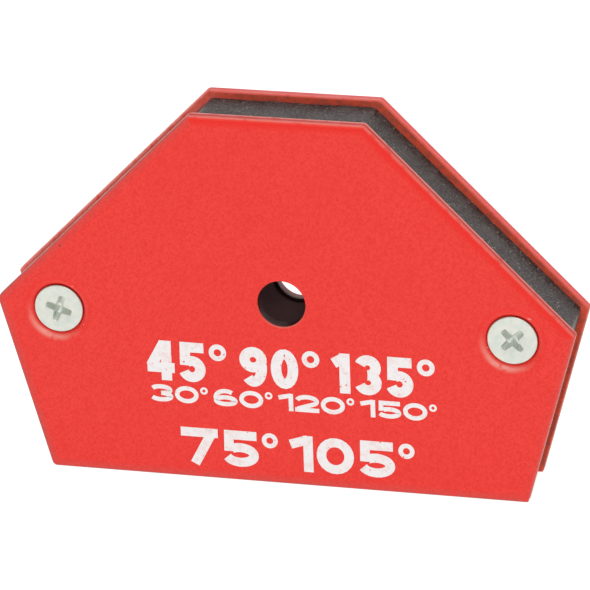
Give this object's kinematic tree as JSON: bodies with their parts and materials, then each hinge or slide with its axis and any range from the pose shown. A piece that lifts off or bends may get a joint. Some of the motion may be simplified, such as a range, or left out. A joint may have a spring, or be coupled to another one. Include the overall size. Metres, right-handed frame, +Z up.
{
  "type": "welding magnet holder",
  "caption": "Flat six-sided magnetic welding clamp: painted steel pole plates over a magnet core, whose edges hold steel at set angles, with a centre through hole.",
  "frame": {"origin": "middle of the long bottom edge: halfway along its length and halfway through the thickness", "axes": "+Z up from the bottom edge to the top edge, +X along the bottom edge, -Y out of the front plate"},
  "size_m": [0.097, 0.014, 0.064],
  "materials": {
    "red_paint": "satin red enamel over steel",
    "black_moulding": "matte black, finely grained",
    "ferrite": "ground sintered ferrite, dark grey",
    "zinc_plate": "pale zinc plate, satin",
    "turned_steel": "plain turned steel"
  },
  "bodies": {
    "root": {"front_plate": "red_paint", "rear_plate": "red_paint", "spacer_frame": "black_moulding", "ferrite_magnet_left": "ferrite", "ferrite_magnet_right": "ferrite", "threaded_sleeve_left": "turned_steel", "threaded_sleeve_right": "turned_steel", "front_screw_left": "zinc_plate", "front_screw_right": "zinc_plate", "rear_screw_left": "zinc_plate", "rear_screw_right": "zinc_plate"}
  },
  "joints": []
}
